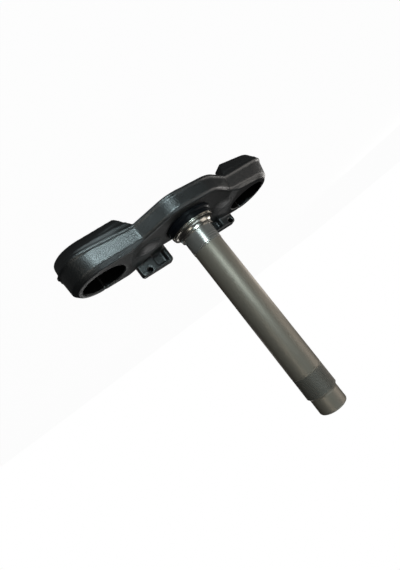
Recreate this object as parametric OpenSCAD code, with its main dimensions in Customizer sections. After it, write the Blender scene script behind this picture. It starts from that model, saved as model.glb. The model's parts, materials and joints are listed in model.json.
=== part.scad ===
// Lower triple clamp of a motorcycle: a forged aluminium yoke with two split
// fork clamps, a pressed-in steel steering stem, and on the stem the inner race
// of the lower bearing with its washer and dust seal.
// Z runs up the stem, Y points to the front of the motorcycle, and X to a fork.
// The origin is on the stem's axis, level with the flat undersides of the clamps.

/* [Layout] */
// Distance between the axes of the two fork bores
fork_spacing = 181; // [170:1:230]
// Distance from the stem's axis forward to the line of the fork bores
fork_offset = 23.2; // [18:0.2:34]
// Diameter of the fork bores
fork_bore_d = 43; // [36:0.5:46]

/* [Forging heights] */
// Height of the parting line over the undersides of the clamps
parting_z = 16.3; // [13:0.1:22]
// Height of the wall from the parting line to the shoulder
upper_wall_h = 12.7; // [10:0.1:20]
// Rise of the sloping band from the shoulder to the land round a fork bore
clamp_rise = 4; // [2.5:0.5:6]
// Rise of the sloping band from the shoulder to the top of the hub
hub_rise = 2; // [1:0.5:2.5]
// Width of the raised band that the trimmed flash leaves on the parting line
flash_w = 2.6; // [1.5:0.1:4]
// Height of that band over the wall
flash_h = 0.9; // [0.3:0.1:1.5]
// Drop of the parting line from the bridge to the outer ends of the clamps
flash_drop = 3.6; // [0:0.2:5]

/* [Fork clamps] */
// Wall round a fork bore at the shoulder
clamp_wall = 8.5; // [7:0.5:12]
// Extra reach of that wall at the parting line
clamp_bulge = 1.7; // [1.6:0.1:4]
// Distance by which the left clamp's outer end is shorter than the right one's
left_trim = 3.2; // [0:0.2:3.4]
// Wall round a fork bore on the inner side, under the bridge
barrel_wall = 4.6; // [3:0.2:6]
// Width of the flat land between a fork bore and the slope to the bridge
land_w = 6; // [3:0.5:8]
// Distance by which the sole of a clamp starts farther out than its bridge
skirt_ramp = 10.5; // [6:0.5:11]
// Distance from the stem's axis back to the sole's rear edge, at its outer end
sole_rear = 6.6; // [3:0.2:9]
// Distance from the stem's axis back to the clamp's rear wall, at its inner corner
clamp_rear = 13.4; // [8:0.2:18]
// Distance from the stem's axis back to the clamp's rear wall, at its outer end
clamp_rear_end = 10.8; // [6:0.2:18]
// Radius of the outer rear corner of a clamp at the shoulder
clamp_corner_r = 32; // [20:1:33]
// Radius of the outer rear corner of a clamp at the parting line
end_corner_r = 28; // [20:1:33]
// Width of the slot that lets a clamp close
slot_w = 2.2; // [1.5:0.1:4]
// Chamfer at both mouths of a fork bore
bore_chamfer = 0.8; // [0.2:0.1:1.5]

/* [Bridge and hub] */
// Half width of the hub's rear wall, measured to its sharp corners
hub_half_w = 22.9; // [18:0.1:27]
// Distance from the stem's axis back to the rear wall of the hub
hub_rear = 35.5; // [30:0.5:42]
// Distance from the stem's axis forward to the front edge of the hub
hub_front = 28.5; // [27.5:0.5:34]
// Distance from the stem's axis to the inner corner of a clamp's rear wall
neck_x = 51.7; // [46:0.5:54]
// Extra reach of the bridge's walls at the parting line
bridge_draft = 1.5; // [1:0.1:4]
// Extra reach of the clamp's rear wall at the parting line
clamp_draft = 3; // [1.6:0.1:4]
// Height of the round boss under the hub
boss_h = 6; // [2:0.5:8]
// Radius of the round boss under the hub
boss_r = 22; // [20:0.5:26]
// Radius that rounds the hub's rear corners
hub_corner_r = 28; // [10:1:34]
// Depth of the soft hollows in the top of the bridge
hollow_depth = 2.6; // [0.5:0.1:3]

/* [Bracket lugs] */
// Height of the two lugs over the shoulder
lug_h = 15; // [12:0.5:25]
// Thickness of the two lugs
lug_t = 9; // [7:0.5:11]
// Width of the lug on the right
right_lug_w = 38; // [34:1:44]
// Width of the lug on the left
left_lug_w = 36; // [34:1:40]
// Distance from the stem's axis to the inner side of the right lug
right_lug_x = 15; // [12:0.5:18]
// Distance from the stem's axis to the inner side of the left lug
left_lug_x = 39; // [37:0.5:42]
// Width of the pocket in a lug
pocket_w = 13; // [8:0.5:14]
// Depth of the pocket in a lug
lug_pocket = 6.5; // [2:0.5:7]
// Height of the tapped holes over the shoulder
lug_hole_h = 11.5; // [8:0.5:12]
// Diameter of the tapped hole in a lug
lug_hole_d = 5; // [3:0.5:6]
// Depth of the tapped hole in a lug
lug_hole_depth = 7; // [4:0.5:7]

/* [Pinch bolts] */
// Thread diameter of the pinch bolts
pinch_d = 8; // [6:1:10]
// Distance from a fork bore's axis forward to its pinch bolt
pinch_y = 32; // [30:0.5:40]
// Height of a pinch bolt over the underside of its clamp
pinch_z = 11.5; // [10:0.5:13]
// Half the length of the two ears that a pinch bolt draws together
ear_half = 14; // [12:0.5:18]
// Radius of the ears round a pinch bolt
ear_r = 9; // [8:0.5:9.5]
// Drop from the land round a fork bore to the top of the ears
ear_drop = 4.5; // [3.5:0.5:10]

/* [Steering stem] */
// Diameter of the stem where it runs plain
stem_d = 30; // [27:0.5:32]
// Extra diameter of the ground seat that holds the bearing
seat_extra = 0.8; // [0.2:0.1:1.6]
// Length of the stem above the shoulder of the forging
stem_length = 211.3; // [150:0.5:260]
// Length of the ground bearing seat above the shoulder
seat_length = 33.5; // [24:0.5:60]
// Length of the threaded band
thread_length = 19.6; // [8:0.2:30]
// Diameter of the tip above the thread
tip_d = 27; // [23:0.5:29]
// Length of the tip above the thread
tip_length = 14.5; // [6:0.5:30]
// Length of the cone between thread and tip
neck_length = 2.5; // [1:0.5:6]
// Depth of the relief groove below the thread
relief = 0.5; // [0.1:0.1:0.8]
// Diameter of the bore along the stem
stem_bore_d = 20; // [12:0.5:21]
// Diameter of the flange at the foot of the stem
foot_d = 37; // [34:0.5:39]
// Thickness of the flange at the foot of the stem
foot_h = 2.5; // [1.5:0.1:4]
// Radius that rounds the edge of the tip
tip_round = 2; // [0.5:0.1:2.5]

/* [Bearing race and seals] */
// Diameter of the race's rim
race_d = 43.2; // [40:0.2:44.4]
// Height of the race
race_h = 7.7; // [6:0.1:12]
// Height of the race's plain rim
race_rim_h = 1.5; // [1:0.1:2.5]
// Wall of the race at its upper end
race_wall = 1.8; // [1:0.1:3]
// Thickness of the steel washer under the race
washer_t = 0.6; // [0.4:0.1:1.2]
// Diameter of the steel washer under the race
washer_d = 44.2; // [42:0.2:46]
// Diameter of the dust seal
seal_d = 47.6; // [46:0.2:49]
// Height of the dust seal
seal_h = 8.9; // [7.5:0.1:11]
// Height of the dust seal's outer lip
seal_lip_h = 5.5; // [4:0.1:6.5]
// Height of the bevel at the top of that lip
seal_bevel = 1.6; // [0.8:0.1:2.5]
// Distance from the lip's edge in to the raised middle of the dust seal
seal_step = 1.5; // [1:0.1:2.5]
// Depth of the seat that the dust seal stands in
seal_seat_depth = 1.5; // [0.5:0.1:2.5]

/* [Hidden] */
$fn = 96;

// Clearance round the dust seal in its seat, and round a bolt's shank in its ear
seal_gap = 0.25;
shank_gap = 0.25;
// Overlap that lets two solids of the forging fuse, and reach of a cut past a face
fuse = 0.6;
cut = 1;
// Height of the small slopes that edge the flash band
flash_edge = 0.3;
// Corner radii of the hub's neck and the front corners
neck_r = 5;
front_corner_r = 6;
// Chamfer along the underside of a clamp
sole_chamfer = 1.2;
// Radius and reach of the nub that the flash leaves at the outer end of a clamp
nub_r = 9;
nub_reach = 1.5;

fork_x = fork_spacing / 2;
bore_r = fork_bore_d / 2;
shoulder_z = parting_z + upper_wall_h;
land_z = shoulder_z + clamp_rise;
hub_top_z = shoulder_z + hub_rise;
bridge_z = parting_z - flash_w / 2;
boss_z = bridge_z - boss_h;
clamp_r = bore_r + clamp_wall;
barrel_r = bore_r + barrel_wall;
front_edge = fork_offset + clamp_r;
neck_angle = atan2(hub_rear - clamp_rear, neck_x - hub_half_w);
rear_angle = atan2(clamp_rear - clamp_rear_end, fork_x - neck_x);
neck_reach = neck_r * tan((neck_angle - rear_angle) / 2);
end_x = fork_x + clamp_r;
base_z = bridge_z - flash_drop - 2;
front_corner_x = 57;
hub_front_x = 28;

stem_r = stem_d / 2;
seat_r = stem_r + seat_extra / 2;
tip_r = tip_d / 2;
stem_top_z = shoulder_z + stem_length;
seat_top_z = shoulder_z + seat_length;
tip_z = stem_top_z - tip_length;
thread_top_z = tip_z - neck_length;
thread_z = thread_top_z - thread_length;
foot_z = boss_z - foot_h;

seal_z = hub_top_z - seal_seat_depth;
washer_z = seal_z + seal_h;
race_z = washer_z + washer_t;

lug_top_z = shoulder_z + lug_h;
lug_front = front_edge + 1;
lug_back = lug_front - lug_t;
lug_corner_r = 3;
lug_rib_w = 5;
right_hole_in = 10;
left_hole_in = 6;

bolt_r = pinch_d / 2;
head_r = pinch_d * 0.8;
head_h = pinch_d;
head_seat = ear_half - 1.5;
socket_r = pinch_d * 0.43;
socket_depth = pinch_d / 2;
bolt_tip = ear_half - 2;

// Points on an arc, from angle a0 to angle a1, in n steps, with its width trimmed
function arc(c, r, a0, a1, n, trim = 0) =
    [for (i = [0:n]) let (a = a0 + (a1 - a0) * i / n)
        [c[0] + (r - trim) * cos(a), c[1] + r * sin(a)]];
function mirrored(p) = [for (i = [len(p) - 1:-1:0]) [-p[i][0], p[i][1]]];
function at_z(p, z) = [for (q = p) [q[0], q[1], z]];

// Solid skinned over a stack of outlines that have the same number of points. Its
// floor is a fan round a given point.
module loft(layers, heart) {
    n = len(layers[0]);
    m = len(layers);
    sides = [for (k = [0:m - 2]) for (i = [0:n - 1])
        let (a = k * n + i, b = k * n + (i + 1) % n)
        each [[a, a + n, b + n], [a, b + n, b]]];
    floor_fan = [for (i = [0:n - 1]) [i, (i + 1) % n, n * m]];
    roof_face = [for (i = [n - 1:-1:0]) (m - 1) * n + i];
    polyhedron([for (l = layers) each l, heart], concat(floor_fan, sides, [roof_face]));
}

// One half of the forging's outline, from the rear wall behind the stem round
// the fork clamp to the front edge of the hub. The first three values widen it
// along the bridge, on the clamp's rear wall and round the fork bore.
function half_outline(bridge, rear, ring, corner, trim) =
    concat(
        arc([hub_half_w - hub_corner_r * tan(neck_angle / 2), -hub_rear + hub_corner_r],
            hub_corner_r + bridge, -90, -90 + neck_angle, 8),
        arc([neck_x + neck_reach * cos(rear_angle) + neck_r * sin(rear_angle),
             -clamp_rear + neck_reach * sin(rear_angle) - neck_r * cos(rear_angle)],
            neck_r - rear, 90 + neck_angle, 90 + rear_angle, 4),
        arc([end_x - trim + ring - corner, -clamp_rear_end - rear + corner], corner,
            -90 + rear_angle, 0, 16),
        arc([fork_x, fork_offset], clamp_r + ring, 0, 90, 18, trim),
        arc([front_corner_x, front_edge - front_corner_r], front_corner_r + ring, 90, 135, 4),
        arc([hub_front_x, hub_front + bridge + front_corner_r], front_corner_r, -45, -90, 4)
    );

function outline(bridge, rear, ring, corner) =
    concat(half_outline(bridge, rear, ring, corner, 0),
           mirrored(half_outline(bridge, rear, ring, corner, left_trim)));

// Points of an outline at a height that sinks towards the clamps' outer ends
function sagging(p, z) =
    [for (q = p) [q[0], q[1], z - flash_drop * max(0, abs(q[0]) - neck_x) / (end_x - neck_x)]];

// Bridge, hub and the upper half of both clamps, drafted up from the parting line
module upper_forging() {
    wall = outline(bridge_draft - flash_h, clamp_draft - flash_h, clamp_bulge - flash_h,
                   end_corner_r);
    band = outline(bridge_draft, clamp_draft, clamp_bulge, end_corner_r);
    loft([
        at_z(wall, base_z),
        sagging(wall, bridge_z),
        sagging(band, bridge_z + flash_edge),
        sagging(band, bridge_z + flash_w - flash_edge),
        sagging(wall, bridge_z + flash_w),
        at_z(outline(0, 0, 0, clamp_corner_r), shoulder_z),
        at_z(outline(-clamp_rise, -clamp_rise, -clamp_rise, clamp_corner_r - clamp_rise), land_z)
    ], [0, 0, base_z]);
}

// Outline of one clamp below the parting line: its rear wall from the neck out,
// the rounded outer end, the front, and the barrel round the fork bore
function skirt(trim, rear_y, rear_end_y, corner, ring, barrel, inset) =
    let (turn = atan2(rear_y - rear_end_y, fork_x - neck_x))
    concat(
        [[neck_x - 3, 5 - rear_y], [neck_x - 3, -rear_y + inset]],
        arc([fork_x - trim + ring - corner, -rear_end_y + corner], corner - inset,
            -90 + turn, 0, 16),
        arc([fork_x, fork_offset], ring - inset, 0, 90, 18, trim),
        arc([fork_x, fork_offset], barrel - inset, 94, 210, 16)
    );

// Lower half of one clamp: a skirt under the rear wall and the outer end, closed
// by the barrel round the fork bore, with a nub of flash at the outer end
module clamp_skirt(trim) {
    loft([
        at_z(skirt(trim, clamp_rear - 1, sole_rear, clamp_r - 2, clamp_r, barrel_r,
                   sole_chamfer), 0),
        at_z(skirt(trim, clamp_rear - 1, sole_rear, clamp_r - 2, clamp_r, barrel_r, 0),
             sole_chamfer),
        at_z(skirt(trim, clamp_rear + 0.6, clamp_rear_end + clamp_draft - flash_h - fuse / 2,
                   end_corner_r, clamp_r + clamp_bulge - flash_h - fuse / 2, barrel_r + 1, 0),
             base_z + fuse)
    ], [fork_x, fork_offset, 0]);
    translate([end_x - trim + clamp_bulge + nub_reach - nub_r, fork_offset - 5,
               bridge_z - flash_drop + flash_edge])
        cylinder(r = nub_r, h = flash_w - 2 * flash_edge);
}

// Solid with a given section in X and Z that reaches past the part in front and behind
module through(section) {
    reach = front_edge + hub_rear;
    translate([0, reach, 0]) rotate([90, 0, 0]) linear_extrude(2 * reach) polygon(section);
}

// Space under the bridge, between the sloping inner ends of the clamps
module space_below() {
    foot = neck_x + skirt_ramp;
    slope = skirt_ramp / bridge_z;
    through([[foot + slope * cut, -cut], [neck_x, bridge_z],
             [-neck_x, bridge_z], [-foot - slope * cut, -cut]]);
}

// Space over the bridge, down to the top of the hub, between the clamps' lands
module space_above() {
    land_x = fork_x - bore_r - land_w;
    low_x = neck_x + 1;
    slope = (land_x - low_x) / (clamp_rise - hub_rise);
    through([[low_x, hub_top_z], [land_x + slope * cut, land_z + cut],
             [-land_x - slope * cut, land_z + cut], [-low_x, hub_top_z]]);
}

// The two ears that the pinch bolt draws together, in front of one clamp and
// almost as high
module pinch_ears() {
    translate([fork_x - ear_half, fork_offset, pinch_z]) {
        translate([0, pinch_y, 0]) rotate([0, 90, 0]) cylinder(r = ear_r, h = 2 * ear_half);
        translate([0, bore_r, -ear_r])
            cube([2 * ear_half, pinch_y - bore_r, land_z - ear_drop - pinch_z + ear_r]);
    }
}

// Everything that one clamp loses: the fork bore, its chamfers, the slot, and
// the hole and spot face of the pinch bolt, whose head is on the outer side
module clamp_cuts() {
    translate([fork_x, fork_offset, 0]) {
        translate([0, 0, -cut]) cylinder(r = bore_r, h = land_z + 2 * cut);
        translate([0, 0, -cut])
            cylinder(r1 = bore_r + bore_chamfer + cut, r2 = bore_r, h = bore_chamfer + cut);
        translate([0, 0, land_z - bore_chamfer])
            cylinder(r1 = bore_r, r2 = bore_r + bore_chamfer + cut, h = bore_chamfer + cut);
        translate([-slot_w / 2, bore_r - 4, -cut])
            cube([slot_w, pinch_y + ear_r, land_z + 2 * cut]);
        translate([0, pinch_y, pinch_z]) rotate([0, 90, 0]) {
            cylinder(r = bolt_r + shank_gap, h = ear_half + cut);
            translate([0, 0, head_seat]) cylinder(r = head_r + 1, h = ear_half);
            translate([0, 0, -ear_half - cut]) cylinder(r = bolt_r, h = ear_half + cut);
        }
    }
}

// Upright plate with rounded upper corners, as thick as a lug
module lug_plate(w, z0) {
    h = lug_top_z - z0;
    r = lug_corner_r;
    translate([0, lug_front, z0]) rotate([90, 0, 0]) linear_extrude(lug_t)
        polygon(concat([[0, 0], [w, 0]], arc([w - r, h - r], r, 0, 90, 6),
                       arc([r, h - r], r, 90, 180, 6)));
}

// Bracket lug on a web from the hub, with a pocket beside its hole. It starts at
// x and is w wide, and its hole lies a given distance in from its outer side.
module lug(x, w, hole_in) {
    difference() {
        union() {
            translate([x, 0, 0]) lug_plate(w, bridge_z);
            translate([0, 0, bridge_z]) linear_extrude(shoulder_z - 2 - bridge_z)
                polygon([[hub_front_x - 6, hub_front - 4], [front_corner_x, lug_back - 8],
                         [front_corner_x, lug_front - 2], [x + 2, lug_front - 2],
                         [x + 2, lug_back]]);
        }
        translate([x + lug_rib_w, lug_back - cut, shoulder_z - 2])
            cube([pocket_w, lug_pocket + cut, lug_h - 1]);
        translate([x + w - hole_in, lug_back, shoulder_z + lug_hole_h]) lug_hole();
    }
}

// Blind tapped hole, from a lug's rear face
module lug_hole() {
    translate([0, -cut, 0]) rotate([-90, 0, 0])
        cylinder(d = lug_hole_d, h = lug_hole_depth + cut);
}

module hub_cuts() {
    translate([0, 0, boss_z - cut]) cylinder(r = seat_r, h = hub_top_z - boss_z + 2 * cut);
    translate([0, 0, seal_z]) cylinder(r = seal_d / 2 + seal_gap, h = hub_top_z);
}

// Soft hollow of a given radius and depth, sunk into the top of the bridge by a
// ball whose poles lie level, clear of the metal
module hollow(x, y, r, depth) {
    ball = (r * r + depth * depth) / (2 * depth);
    translate([x, y, hub_top_z + ball - depth]) rotate([90, 0, 0]) sphere(r = ball);
}

module clamp_body() {
    color("#26292b") difference() {
        union() {
            difference() {
                union() {
                    upper_forging();
                    clamp_skirt(0);
                    mirror([1, 0, 0]) clamp_skirt(left_trim);
                }
                space_below();
                space_above();
            }
            for (side = [0, 1]) mirror([side, 0, 0]) pinch_ears();
            translate([0, 0, boss_z])
                cylinder(r1 = boss_r - 1, r2 = boss_r, h = boss_h + fuse);
            lug(right_lug_x, right_lug_w, right_hole_in);
            mirror([1, 0, 0]) lug(left_lug_x, left_lug_w, left_hole_in);
        }
        for (side = [0, 1]) mirror([side, 0, 0]) {
            clamp_cuts();
            hollow(43, 10, 13, hollow_depth);
        }
        hub_cuts();
    }
}

// Turned steel stem: foot flange, ground seat, plain shaft, thread and tip
module steering_stem() {
    r = tip_round;
    profile = concat(
        [[stem_bore_d / 2, foot_z], [foot_d / 2 - 0.8, foot_z], [foot_d / 2, foot_z + 0.8],
         [foot_d / 2, boss_z], [seat_r, boss_z], [seat_r, seat_top_z - 0.4],
         [stem_r, seat_top_z], [stem_r, thread_z - 1.6], [stem_r - relief, thread_z - 1.2],
         [stem_r - relief, thread_z - 0.5], [stem_r, thread_z], [stem_r, thread_top_z],
         [tip_r + 0.4, tip_z - 1], [tip_r, tip_z]],
        [for (a = [0:15:90]) [tip_r - r + r * cos(a), stem_top_z - r + r * sin(a)]],
        [[stem_bore_d / 2 + 1, stem_top_z], [stem_bore_d / 2, stem_top_z - 1]]
    );
    color("#8f8a80") rotate_extrude() polygon(profile);
}

// Inner race of the lower bearing, with a hollow track that the balls run in
module bearing_race() {
    foot = race_d / 2 - 0.6;
    neck = seat_r + race_wall;
    rise = race_h - 1 - race_rim_h;
    track = ((foot - neck) * (foot - neck) + rise * rise) / (2 * (foot - neck));
    low = 180 + asin(rise / track);
    profile = concat(
        [[seat_r, 0], [race_d / 2 - 0.3, 0], [race_d / 2, 0.3],
         [race_d / 2, race_rim_h - 0.3], [race_d / 2 - 0.3, race_rim_h]],
        arc([neck + track, race_h - 1], track, low, 180, 12),
        [[neck - 0.5, race_h], [seat_r, race_h]]
    );
    color("#c9c4ba") translate([0, 0, race_z]) rotate_extrude() polygon(profile);
}

module race_washer() {
    color("#b9b6ad") translate([0, 0, washer_z]) difference() {
        cylinder(d = washer_d, h = washer_t);
        translate([0, 0, -cut]) cylinder(r = seat_r, h = washer_t + 2 * cut);
    }
}

// Moulded dust seal: an outer lip, and a raised middle that carries the washer
module dust_seal() {
    r = seal_d / 2;
    middle_r = r - seal_step;
    color("#17181a") translate([0, 0, seal_z]) rotate_extrude()
        polygon([[seat_r, 0], [r, 0], [r, seal_lip_h - seal_bevel],
                 [middle_r + 0.4, seal_lip_h], [middle_r, seal_lip_h - 0.6],
                 [middle_r, seal_h - 0.5], [middle_r - 0.5, seal_h], [seat_r, seal_h]]);
}

// Cap screw that draws one clamp's ears together
module pinch_bolt() {
    translate([fork_x, fork_offset + pinch_y, pinch_z]) rotate([0, 90, 0]) {
        translate([0, 0, -bolt_tip]) cylinder(r = bolt_r, h = bolt_tip + head_seat);
        translate([0, 0, head_seat]) difference() {
            union() {
                cylinder(r = head_r, h = head_h - 0.6);
                translate([0, 0, head_h - 0.6])
                    cylinder(r1 = head_r, r2 = head_r - 0.6, h = 0.6);
            }
            translate([0, 0, head_h - socket_depth])
                cylinder(r = socket_r, h = socket_depth + cut, $fn = 6);
        }
    }
}

module pinch_bolts() {
    color("#4a4b4d") for (side = [0, 1]) mirror([side, 0, 0]) pinch_bolt();
}

clamp_body();
steering_stem();
bearing_race();
race_washer();
dust_seal();
pinch_bolts();
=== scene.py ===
"""Looks of a motorcycle's lower triple clamp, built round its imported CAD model."""
import json
import math

import bmesh
import bpy
from mathutils import Matrix, Vector


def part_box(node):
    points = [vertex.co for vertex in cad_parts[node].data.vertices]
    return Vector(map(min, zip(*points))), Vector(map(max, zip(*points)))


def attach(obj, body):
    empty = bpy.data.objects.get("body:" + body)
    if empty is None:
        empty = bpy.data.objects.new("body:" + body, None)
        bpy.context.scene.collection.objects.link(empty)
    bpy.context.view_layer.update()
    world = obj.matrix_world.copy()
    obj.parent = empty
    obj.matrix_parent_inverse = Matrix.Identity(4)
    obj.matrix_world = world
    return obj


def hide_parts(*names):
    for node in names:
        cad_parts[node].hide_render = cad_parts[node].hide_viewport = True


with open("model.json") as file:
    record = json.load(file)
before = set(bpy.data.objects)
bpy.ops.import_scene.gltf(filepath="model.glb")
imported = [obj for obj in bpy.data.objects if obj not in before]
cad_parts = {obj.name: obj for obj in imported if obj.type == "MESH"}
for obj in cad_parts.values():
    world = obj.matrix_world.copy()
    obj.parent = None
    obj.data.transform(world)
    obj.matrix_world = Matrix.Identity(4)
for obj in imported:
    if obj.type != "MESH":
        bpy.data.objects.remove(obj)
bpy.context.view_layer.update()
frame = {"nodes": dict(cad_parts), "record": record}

# Camera: a wide lens close behind the part, low over the bench and rolled so
# that the stem points down to the right.
view_right = Vector((-0.7530, -0.2537, 0.6072))
view_up = Vector((-0.5239, -0.3271, -0.7865))
view_back = Vector((0.3982, -0.9103, 0.1134))
camera_place = Vector((0.1457, -0.2639, 0.1204))
sensor = 36.0
focal_px = 329
photo_height_px = 570
camera = bpy.data.objects.new("camera", bpy.data.cameras.new("camera"))
camera.data.sensor_width = sensor
camera.data.lens = sensor * focal_px / photo_height_px
camera.data.clip_start = 0.01
turn = Matrix((view_right, view_up, view_back)).transposed()
camera.matrix_world = Matrix.Translation(camera_place) @ turn.to_4x4()
bpy.context.scene.collection.objects.link(camera)
bpy.context.scene.camera = camera
bpy.context.scene.view_settings.view_transform = "Standard"

# Bench: a plain white floor. The camera and rays through glass see it near white, mirror-like rays
# see it mostly dark grey, and enough of its own shading is left to keep the part's shadow.
floor_half = 3.0
floor_seen = 0.975
floor_mirrored = 0.03
floor_white = (0.82, 0.82, 0.82)
floor_bounce = (0.11, 0.11, 0.11)


class Value:
    """A wrapped socket, on which Python's operators add Math nodes."""

    def __init__(self, tree, socket):
        self.tree = tree
        self.socket = socket

    def maths(self, operation, other, flip=False):
        pair = (other, self) if flip else (self, other)
        return node(self.tree, "ShaderNodeMath", {"operation": operation}, *pair)

    def __add__(self, other):
        return self.maths("ADD", other)

    def __sub__(self, other):
        return self.maths("SUBTRACT", other)

    def __rsub__(self, other):
        return self.maths("SUBTRACT", other, flip=True)

    def __mul__(self, other):
        return self.maths("MULTIPLY", other)

    def __truediv__(self, other):
        return self.maths("DIVIDE", other)

    __radd__ = __add__
    __rmul__ = __mul__


def node(tree, kind, settings, *values, out=0, **named):
    """Adds any node, sets it up, and fills its sockets with numbers or links."""
    made = tree.nodes.new(kind)
    for key, value in settings.items():
        setattr(made, key, value)
    sockets = list(enumerate(values))
    sockets += [(key.replace("_", " "), value) for key, value in named.items()]
    for key, value in sockets:
        if isinstance(value, Value):
            tree.links.new(value.socket, made.inputs[key])
        else:
            made.inputs[key].default_value = value
    return Value(tree, made.outputs[out]) if made.outputs else made


def new_material(name):
    """A material and its node tree, which starts empty."""
    made = bpy.data.materials.new(name)
    made.use_nodes = True
    made.node_tree.nodes.clear()
    return made, made.node_tree


def tinted(share, first, second):
    """A colour that goes from the first to the second with the share."""
    ends = [end if isinstance(end, Value) else (*end, 1) for end in (first, second)]
    return node(share.tree, "ShaderNodeMix", {"data_type": "RGBA"}, share, A=ends[0],
                B=ends[1], out=2)


floor_mesh = bpy.data.meshes.new("bench")
floor_mesh.from_pydata([(-floor_half, -floor_half, 0), (floor_half, -floor_half, 0),
                        (floor_half, floor_half, 0), (-floor_half, floor_half, 0)],
                       [], [(0, 1, 2, 3)])
bench = bpy.data.objects.new("bench", floor_mesh)
bpy.context.scene.collection.objects.link(bench)
bench_white, tree = new_material("bench_white")
seen = node(tree, "ShaderNodeLightPath", {}, out="Is Camera Ray")
mirrored = node(tree, "ShaderNodeLightPath", {}, out="Is Glossy Ray")
through = node(tree, "ShaderNodeLightPath", {}, out="Is Transmission Ray")
lit = node(tree, "ShaderNodeBsdfDiffuse", {}, Color=tinted(seen, floor_bounce, floor_white))
glow = node(tree, "ShaderNodeEmission", {}, Color=(1, 1, 1, 1), Strength=1.0)
share = seen * floor_seen + mirrored * floor_mirrored + through * floor_seen
both = node(tree, "ShaderNodeMixShader", {}, share, lit, glow)
node(tree, "ShaderNodeOutputMaterial", {}, Surface=both)
floor_mesh.materials.append(bench_white)

# Room: white to the camera, and a soft even grey light on the part.
room_light = 0.012
room_tint = (0.98, 0.98, 1.0, 1)
room = bpy.data.worlds.new("room")
bpy.context.scene.world = room
room.use_nodes = True
tree = room.node_tree
tree.nodes.clear()
seen = node(tree, "ShaderNodeLightPath", {}, out="Is Camera Ray")
soft = node(tree, "ShaderNodeBackground", {}, Color=room_tint, Strength=room_light)
white = node(tree, "ShaderNodeBackground", {}, Color=(1, 1, 1, 1), Strength=1.0)
both = node(tree, "ShaderNodeMixShader", {}, seen, soft, white)
node(tree, "ShaderNodeOutputWorld", {}, Surface=both)


# Lamps: two cool boxes behind the part, one high and one low, and a lit card on the
# bench; two warm boxes and a tall strip at its sides; two small ones in front.
def soft_box(name, place, aim, width, height, power, colour):
    """A rectangular studio lamp that the camera itself doesn't see."""
    lamp = bpy.data.lights.new(name, "AREA")
    lamp.shape = "RECTANGLE"
    lamp.size = width
    lamp.size_y = height
    lamp.energy = power
    lamp.color = colour
    holder = bpy.data.objects.new(name, lamp)
    facing = (Vector(aim) - Vector(place)).to_track_quat("-Z", "Y")
    holder.matrix_world = Matrix.Translation(place) @ facing.to_matrix().to_4x4()
    holder.visible_camera = False
    bpy.context.scene.collection.objects.link(holder)


cool = (0.76, 0.96, 1.0)
cool_high = (0.78, 0.95, 1.0)
cool_card = (0.80, 0.96, 1.0)
warm_left = (1, 0.97, 0.93)
warm_side = (1, 0.95, 0.89)
warm_strip = (1, 0.98, 0.88)
plain = (1, 1, 0.99)
soft_box("high_box", (-0.12, -0.45, 0.92), (0, 0, 0.03), 0.5, 0.35, 0.92, cool_high)
soft_box("low_box", (0.10, -0.50, 0.045), (0.03, -0.02, 0.02), 0.13, 0.085, 0.88, cool)
soft_box("left_box", (-0.90, 0.25, 0.10), (-0.03, 0, 0.02), 0.5, 0.18, 1.15, warm_left)
soft_box("side_box", (-0.75, -0.42, 0.45), (0, 0, 0.12), 0.6, 0.7, 1.45, warm_side)
soft_box("tall_strip", (0.58, -0.52, 0.60), (0, 0, 0.20), 0.16, 0.6, 0.62, warm_strip)
soft_box("front_box", (-0.22, 0.68, 0.76), (0, 0, 0.03), 0.4, 0.2, 0.52, plain)
soft_box("front_card", (0.05, 0.95, 0.33), (0.09, 0.03, 0.03), 0.22, 0.14, 0.19, plain)
soft_box("bench_card", (0.090, -0.046, 0.0015), (0.090, -0.046, 1), 0.05, 0.052, 0.0062, cool_card)

# Forged yoke: one aluminium forging with its bridge, two split fork clamps and
# two bracket lugs, blasted and powder coated satin black.
coat_black = (0.0036, 0.0039, 0.0044)
coat_worn = (0.0060, 0.0063, 0.0068)
# Painted shade for the insides of the bores and tapped holes: blacker than the coat.
bore_shade_black = (0.0014, 0.0015, 0.0017)
bore_shade_grey = (0.0026, 0.0028, 0.0030)
weld_reach = 2e-6
flat_angle = math.radians(0.6)
forging_step = 0.00085
bore_skin = 0.0004
hole_reach = 0.0154


def closed_copy(name, cad_node):
    """A copy of a CAD solid with its triangles joined and its flat faces whole."""
    mesh = frame["nodes"][cad_node].data.copy()
    mesh.name = name
    form = bmesh.new()
    form.from_mesh(mesh)
    bmesh.ops.remove_doubles(form, verts=form.verts, dist=weld_reach)
    bmesh.ops.dissolve_limit(form, angle_limit=flat_angle, verts=form.verts,
                             edges=form.edges, delimit=set())
    form.to_mesh(mesh)
    form.free()
    mesh.materials.clear()
    made = bpy.data.objects.new(name, mesh)
    bpy.context.scene.collection.objects.link(made)
    return made


def finish_mesh(made):
    """Turns an object and its modifiers into one plain mesh."""
    plan = bpy.context.evaluated_depsgraph_get()
    plan.update()
    mesh = bpy.data.meshes.new_from_object(made.evaluated_get(plan))
    made.modifiers.clear()
    made.data = mesh


def surface_place(tree):
    """Where a point of the surface is in the object's own metres."""
    return node(tree, "ShaderNodeTexCoord", {}, out="Object")


def speckle(place, scale, detail, roughness=0.5):
    """Random light and dark spots, more of them to the metre as the scale grows."""
    return node(place.tree, "ShaderNodeTexNoise", {}, Vector=place, Scale=scale, Detail=detail,
                Roughness=roughness)


def tool_marks(place, around, along, detail):
    """Fine rings round the upright axis, as a cutting tool leaves them."""
    drawn_out = node(place.tree, "ShaderNodeMapping", {}, Vector=place,
                     Scale=(around, around, along))
    return speckle(drawn_out, 1.0, detail, roughness=0.6)


yoke = closed_copy("forged_yoke", "clamp_body")
skin = yoke.modifiers.new("skin", "REMESH")
skin.mode = "VOXEL"
skin.voxel_size = forging_step
skin.use_smooth_shade = True
soften = yoke.modifiers.new("soften", "SMOOTH")
soften.factor = 0.5
soften.iterations = 3
finish_mesh(yoke)
yoke.data.shade_smooth()

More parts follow.
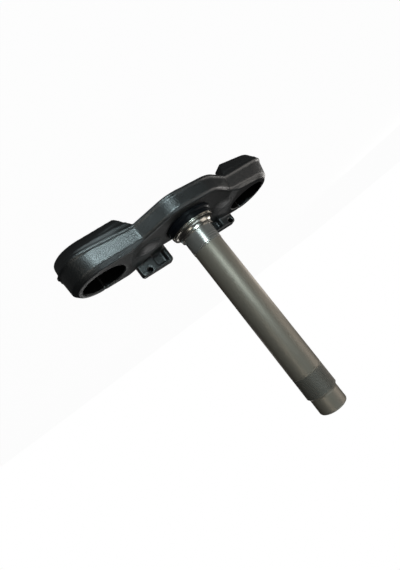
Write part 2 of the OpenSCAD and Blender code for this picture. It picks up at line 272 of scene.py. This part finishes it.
powder_coat, tree = new_material("powder_coat")
place = surface_place(tree)
grain = speckle(place, 1400, 3.0, roughness=0.6)
dimple = speckle(place, 900, 2.0)
cloud = speckle(place, 55, 3.0, roughness=0.55)
relief = node(tree, "ShaderNodeBump", {}, Strength=0.6, Distance=0.00042,
              Height=grain * 0.35 + dimple * 0.65)
coat = node(tree, "ShaderNodeBsdfPrincipled", {}, Normal=relief, IOR=1.72,
            Base_Color=tinted(cloud * 0.6 + grain * 0.4, coat_black, coat_worn),
            Roughness=0.35 + cloud * 0.06 + grain * 0.05, Specular_IOR_Level=1.0)
node(tree, "ShaderNodeOutputMaterial", {}, Surface=coat)
yoke.data.materials.append(powder_coat)

# The fork bores and the tapped holes get a darker, duller black than the coat, as painted shade
# inside the holes: the faces that lie within bore_skin of a hole's radius and hole_reach of its
# middle.
bored_black, tree = new_material("bored_black")
rings = tool_marks(surface_place(tree), 40, 1500, 3.0)
# Painted shade: a darker black than the coat, with faint rings, for the shade inside the holes.
shaded_bore = node(tree, "ShaderNodeBsdfPrincipled", {}, Base_Color=tinted(rings, bore_shade_black, bore_shade_grey),
             Roughness=0.34 + rings * 0.10, Specular_IOR_Level=0.25)
node(tree, "ShaderNodeOutputMaterial", {}, Surface=shaded_bore)
yoke.data.materials.append(bored_black)
mounts = {mount["name"]: mount for mount in frame["record"]["mounts"]}
bored = [(Vector(mount["pos_m"]), Vector(mount["axis"]), mount["dims"]["r_mm"] / 1000 + bore_skin)
         for mount in mounts.values() if mount["kind"] in ("clamp", "threaded_hole")]
for face in yoke.data.polygons:
    for middle, axis, reach in bored:
        away = face.center - middle
        if away.cross(axis).length < reach and abs(away.dot(axis)) < hole_reach:
            face.material_index = 1
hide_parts("clamp_body")
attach(yoke, "root")

# Steering stem: a steel tube pressed into the yoke from below, ground and polished
# where the bearing sits, turned plain above it, with a fine thread near its end
# and a reduced tip.
satin_dark = (0.350, 0.300, 0.248)
satin_light = (0.41, 0.352, 0.292)
seat_bright = (0.47, 0.440, 0.410)
thread_dark = (0.235, 0.208, 0.180)
lathe_steps = 128
sharp_angle = math.radians(38)
seat_r = 0.0154
foot_t = 0.0025
foot_round = 0.0008
foot_bore_round = 0.0003
seat_round = 0.0004
line_from_end = 0.0010
line_width = 0.0008
line_depth = 0.0002
line_slope = 0.0002
polish_fade = 0.0009
shaft_chamfer = 0.0010
thread_pitch = 0.00125
thread_depth = 0.00036
thread_rows = 12
groove_start = 0.0016
groove_end = 0.0005
groove_depth = 0.0005
groove_slope = 0.0004
tip_cone = 0.0010
tip_step = 0.0003
tip_round = 0.0020
cone_round = 0.0004
neck_round = 0.0005
bore_round = 0.0010
fine_round = 0.0001
edge_round = 0.0002


def span(name):
    """Radius of a round mount on the stem, and the heights where it starts and ends."""
    half = mounts[name]["dims"]["length_mm"] / 2000
    middle = mounts[name]["pos_m"][2]
    return mounts[name]["dims"]["r_mm"] / 1000, middle - half, middle + half


def rounded(corners, steps=4, most=0.48):
    """Closed (radius, height) outline from corners that each have a rounding radius.

    A rounding takes at most the given share of the edges beside it.
    """
    outline = []
    for place, (radius, height, rounding) in enumerate(corners):
        here = Vector((radius, height))
        before = Vector(corners[place - 1][:2]) - here
        after = Vector(corners[(place + 1) % len(corners)][:2]) - here
        if rounding == 0:
            outline.append(here)
            continue
        reach = rounding / math.tan(before.angle(after) / 2)
        reach = min(reach, most * before.length, most * after.length)
        start = here + before.normalized() * reach
        end = here + after.normalized() * reach
        for step in range(steps + 1):
            t = step / steps
            outline.append(start * (1 - t) ** 2 + here * 2 * t * (1 - t) + end * t ** 2)
    return outline


def turned(name, outline, around, wind=None):
    """A lathe-turned ring of a closed outline. wind gives a radius that turns with it."""
    form = bmesh.new()
    rings = []
    for radius, height in outline:
        ring = []
        for k in range(around):
            share = k / around
            reach = wind(radius, height, share) if wind else radius
            angle = 2 * math.pi * share
            ring.append(form.verts.new((reach * math.cos(angle), reach * math.sin(angle),
                                        height)))
        rings.append(ring)
    for row, low in enumerate(rings):
        high = rings[(row + 1) % len(rings)]
        for k in range(around):
            after = (k + 1) % around
            form.faces.new((low[k], low[after], high[after], high[k]))
    bmesh.ops.recalc_face_normals(form, faces=form.faces)
    mesh = bpy.data.meshes.new(name)
    form.to_mesh(mesh)
    form.free()
    made = bpy.data.objects.new(name, mesh)
    bpy.context.scene.collection.objects.link(made)
    mesh.shade_smooth()
    mesh.set_sharp_from_angle(angle=sharp_angle)
    return made


def wind_thread(radius, height, share):
    """Radius where a V thread winds round the stem, with a short run-out at both ends."""
    if radius < thread_r - groove_depth / 2 or not thread_z < height < thread_end:
        return radius
    phase = (height / thread_pitch - share) % 1
    runout = min(1, (height - thread_z) / thread_pitch, (thread_end - height) / thread_pitch)
    return radius - thread_depth * runout * abs(2 * phase - 1)


shaft_r, shaft_z, _ = span("stem_shaft")
thread_r, thread_z, thread_end = span("stem_thread")
tip_r, tip_z, _ = span("stem_tip")
bore_r, _, _ = span("stem_bore")
stem_low, stem_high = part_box("steering_stem")
foot_r = stem_high[0]
foot_z = stem_low[2]
top_z = stem_high[2]
seat_end = shaft_z - fine_round
line_end = seat_end - line_from_end
line_start = line_end - line_width
line_r = seat_r - line_depth
groove_r = shaft_r - groove_depth
seat_and_foot = [
    (bore_r, foot_z, foot_bore_round), (foot_r, foot_z, foot_round),
    (foot_r, foot_z + foot_t, edge_round), (seat_r, foot_z + foot_t, 0),
    (seat_r, line_start, fine_round), (line_r, line_start + line_slope, fine_round),
    (line_r, line_end - line_slope, fine_round), (seat_r, line_end, fine_round),
    (seat_r, seat_end, seat_round)]
shaft_line = [
    (shaft_r - fine_round, seat_end + edge_round, fine_round),
    (shaft_r, seat_end + shaft_chamfer, edge_round),
    (shaft_r, thread_z - groove_start, edge_round),
    (groove_r, thread_z - groove_start + groove_slope, edge_round),
    (groove_r, thread_z - groove_end, edge_round)]
row_count = round((thread_end - thread_z) / thread_pitch * thread_rows)
thread_line = [(thread_r, thread_z + (thread_end - thread_z) * k / row_count, 0)
               for k in range(row_count + 1)]
tip_line = [
    (tip_r + tip_step, tip_z - tip_cone, cone_round), (tip_r, tip_z, neck_round),
    (tip_r, top_z, tip_round), (bore_r, top_z, bore_round)]
stem = turned("turned_stem", rounded(seat_and_foot + shaft_line + thread_line + tip_line),
              lathe_steps, wind_thread)

stem_steel, tree = new_material("stem_steel")
place = surface_place(tree)
height = node(tree, "ShaderNodeSeparateXYZ", {}, place, out="Z")
lines = tool_marks(place, 12, 1900, 4.0)
cloud = speckle(place, 70, 3.0)
fade = (seat_end + polish_fade - height) / (2 * polish_fade) + (lines - 0.5) * 0.5
polished = fade.maths("MAXIMUM", 0.0).maths("MINIMUM", 1.0)
cut_steel = height.maths("GREATER_THAN", thread_z) * height.maths("LESS_THAN", thread_end)
satin = tinted(cloud * 0.6 + lines * 0.4, satin_dark, satin_light)
relief = node(tree, "ShaderNodeBump", {}, Strength=0.05, Distance=0.000002, Height=lines)
steel = node(tree, "ShaderNodeBsdfPrincipled", {}, Normal=relief,
             Base_Color=tinted(cut_steel, tinted(polished, satin, seat_bright), thread_dark),
             Metallic=0.50 + polished * 0.16,
             Roughness=0.46 + lines * 0.04 - polished * 0.21 + cut_steel * 0.12)
node(tree, "ShaderNodeOutputMaterial", {}, Surface=steel)
stem.data.materials.append(stem_steel)
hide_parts("steering_stem")
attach(stem, "root")

# Dust seal: a moulded black rubber ring, with an outer lip in its seat in the hub
# and a raised middle that carries the washer.
rubber_black = (0.005, 0.006, 0.008)
rubber_grey = (0.010, 0.011, 0.014)
lip_h = 0.0055
lip_bevel = 0.0016
lip_groove = 0.0006
lip_land = 0.0004
lip_round = 0.0004
seal_step = 0.0015
seal_foot_round = 0.0003
rubber_round = 0.0006
seal_low, seal_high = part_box("dust_seal")
seal_r = seal_high[0]
seal_z = seal_low[2]
lip_z = seal_z + lip_h
middle_r = seal_r - seal_step
seal = turned("moulded_seal", rounded([
    (seat_r, seal_z, 0), (seal_r, seal_z, seal_foot_round),
    (seal_r, lip_z - lip_bevel, rubber_round), (middle_r + lip_land, lip_z, lip_round),
    (middle_r, lip_z - lip_groove, edge_round), (middle_r, seal_high[2], rubber_round),
    (seat_r, seal_high[2], 0)]), lathe_steps)

seal_rubber, tree = new_material("seal_rubber")
cloud = speckle(surface_place(tree), 300, 3.0)
relief = node(tree, "ShaderNodeBump", {}, Strength=0.15, Distance=0.0001, Height=cloud)
rubber = node(tree, "ShaderNodeBsdfPrincipled", {}, Normal=relief,
              Base_Color=tinted(cloud, rubber_black, rubber_grey),
              Roughness=0.30 + cloud * 0.16, Specular_IOR_Level=0.12)
node(tree, "ShaderNodeOutputMaterial", {}, Surface=rubber)
seal.data.materials.append(seal_rubber)
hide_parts("dust_seal")
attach(seal, "root")

# Washer: a thin bright steel ring, punched and laid on the seal, that the race
# presses down.
race_bronze = (0.56, 0.520, 0.460)
race_bright = (0.72, 0.685, 0.625)
washer_round = 0.00012
washer_low, washer_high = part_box("race_washer")
washer = turned("steel_washer", rounded([
    (seat_r, washer_low[2], 0), (washer_high[0], washer_low[2], washer_round),
    (washer_high[0], washer_high[2], washer_round), (seat_r, washer_high[2], 0)], 2), lathe_steps)

race_steel, tree = new_material("race_steel")
place = surface_place(tree)
lines = tool_marks(place, 60, 2400, 3.0)
cloud = speckle(place, 160, 3.0)
ground = node(tree, "ShaderNodeBsdfPrincipled", {}, Metallic=1.0,
              Base_Color=tinted(cloud, race_bronze, race_bright),
              Roughness=0.22 + cloud * 0.05 + lines * 0.04)
node(tree, "ShaderNodeOutputMaterial", {}, Surface=ground)
washer.data.materials.append(race_steel)
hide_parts("race_washer")
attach(washer, "root")

# Bearing race: the lower bearing's inner ring of hardened steel, ground, with a
# polished hollow track, pressed down over the stem's seat.
rim_h = 0.0015
race_wall = 0.0018
race_round = 0.0003
track_lip = 0.0006
track_from_top = 0.001
track_steps = 20
race_low, race_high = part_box("bearing_race")
rim_r = race_high[0]
race_z = race_low[2]
neck_r = seat_r + race_wall
neck_z = race_high[2] - track_from_top
track_rise = neck_z - rim_h - race_z
track_run = rim_r - track_lip - neck_r
track_r = (track_run ** 2 + track_rise ** 2) / (2 * track_run)
track_start = math.pi + math.asin(track_rise / track_r)
track = []
for step in range(track_steps + 1):
    angle = track_start + (math.pi - track_start) * step / track_steps
    track.append((neck_r + track_r + track_r * math.cos(angle),
                  neck_z + track_r * math.sin(angle), 0))
race = turned("ground_race", rounded([
    (seat_r, race_z, edge_round), (rim_r, race_z, race_round),
    (rim_r, race_z + rim_h, race_round), *track,
    (neck_r - fine_round, race_high[2], race_round), (seat_r, race_high[2], race_round)]),
    lathe_steps)
race.data.materials.append(race_steel)
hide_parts("bearing_race")
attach(race, "root")

# Pinch bolts: two black zinc plated steel cap screws with knurled heads and hexagon
# sockets, screwed from the outer sides through the ears to close the clamps.
zinc_black = (0.05, 0.05, 0.052)
zinc_grey = (0.10, 0.10, 0.10)
screw_steps = 72
screw_r = 0.004
screw_tip = 0.0785
tip_chamfer = 0.0005
head_r = 0.0064
head_h = 0.008
head_chamfer = 0.0006
socket_r = 0.00344
socket_depth = 0.004
socket_chamfer = 0.0003
socket_cone = 0.0006
rib_r = 0.00032
rib_length = 0.0062
rib_count = 48
hair = 0.00001
bolts_low, bolts_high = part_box("pinch_bolts")
shank_h = bolts_high[0] - screw_tip - head_h
screw_h = shank_h + head_h
socket_z = screw_h - socket_depth
core_r = head_r - rib_r


def hex_socket(radius, height, share):
    """Radius that turns the socket's round outline into a hexagon."""
    if radius > socket_r or height < socket_z - hair or radius < 2 * hair:
        return radius
    return radius * math.cos(math.pi / 6) / math.cos((share * 6 % 1 - 0.5) * math.pi / 3)


screws = turned("cap_screws", [
    (hair, 0), (screw_r - tip_chamfer, 0), (screw_r, tip_chamfer), (screw_r, shank_h),
    (core_r, shank_h), (core_r, screw_h - head_chamfer), (core_r - head_chamfer, screw_h),
    (socket_r + socket_chamfer, screw_h), (socket_r, screw_h - socket_chamfer),
    (socket_r, socket_z), (hair, socket_z - socket_cone)], screw_steps, hex_socket)

bolt_steel, tree = new_material("bolt_steel")
place = surface_place(tree)
cloud = speckle(place, 400, 3.0)
speck = speckle(place, 2600, 2.0)
relief = node(tree, "ShaderNodeBump", {}, Strength=0.2, Distance=0.00004, Height=speck)
plating = node(tree, "ShaderNodeBsdfPrincipled", {}, Normal=relief, Metallic=0.8,
               Base_Color=tinted(cloud * 0.7 + speck * 0.3, zinc_black, zinc_grey),
               Roughness=0.34 + cloud * 0.12)
node(tree, "ShaderNodeOutputMaterial", {}, Surface=plating)

# The ribs of the knurl and the two screws are repeats.
screw_sizes = {
    "Rib circle": core_r,
    "Rib radius": rib_r,
    "Rib length": rib_length,
    "Rib height": shank_h + head_chamfer + rib_length / 2,
    "Reach": bolts_high[0] - screw_h,
    "Forward": (bolts_low[1] + bolts_high[1]) / 2,
    "Up": (bolts_low[2] + bolts_high[2]) / 2,
    "Ribs": rib_count}
tree = bpy.data.node_groups.new("pair_of_screws", "GeometryNodeTree")
tree.interface.new_socket("Screw", in_out="INPUT", socket_type="NodeSocketGeometry")
tree.interface.new_socket("Screws", in_out="OUTPUT", socket_type="NodeSocketGeometry")
inlet = {}
for label, value in screw_sizes.items():
    kind = "NodeSocketInt" if isinstance(value, int) else "NodeSocketFloat"
    inlet[label] = tree.interface.new_socket(label, in_out="INPUT", socket_type=kind).identifier
given = tree.nodes.new("NodeGroupInput")
size = {label: Value(tree, given.outputs[label]) for label in inlet}
circle = node(tree, "GeometryNodeMeshCircle", {}, Vertices=size["Ribs"],
              Radius=size["Rib circle"])
rib = node(tree, "GeometryNodeMeshCylinder", {"fill_type": "NGON"}, Vertices=6,
           Radius=size["Rib radius"], Depth=size["Rib length"])
ribs = node(tree, "GeometryNodeInstanceOnPoints", {}, circle, Instance=rib)
lift = node(tree, "ShaderNodeCombineXYZ", {}, 0.0, 0.0, size["Rib height"])
raised = node(tree, "GeometryNodeTransform", {}, ribs, Translation=lift)
whole = tree.nodes.new("GeometryNodeJoinGeometry")
tree.links.new(given.outputs["Screw"], whole.inputs[0])
tree.links.new(raised.socket, whole.inputs[0])
start = node(tree, "ShaderNodeCombineXYZ", {}, size["Reach"], size["Forward"], size["Up"])
across = node(tree, "ShaderNodeCombineXYZ", {}, size["Reach"] * -2.0, 0.0, 0.0)
ends = node(tree, "GeometryNodeMeshLine", {"mode": "OFFSET"}, Count=2, Start_Location=start,
            Offset=across)
side = node(tree, "GeometryNodeInputIndex", {})
facing = node(tree, "ShaderNodeCombineXYZ", {}, 0.0, side * -math.pi + math.pi / 2, 0.0)
pair = node(tree, "GeometryNodeInstanceOnPoints", {}, ends,
            Instance=Value(tree, whole.outputs[0]), Rotation=facing)
joined = node(tree, "GeometryNodeRealizeInstances", {}, pair)
plated = node(tree, "GeometryNodeSetMaterial", {}, joined, Material=bolt_steel)
node(tree, "NodeGroupOutput", {}, plated)
maker = screws.modifiers.new("pair", "NODES")
maker.node_group = tree
for label, value in screw_sizes.items():
    maker[inlet[label]] = value
finish_mesh(screws)
screws.data.set_sharp_from_angle(angle=sharp_angle)
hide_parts("pinch_bolts")
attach(screws, "root")
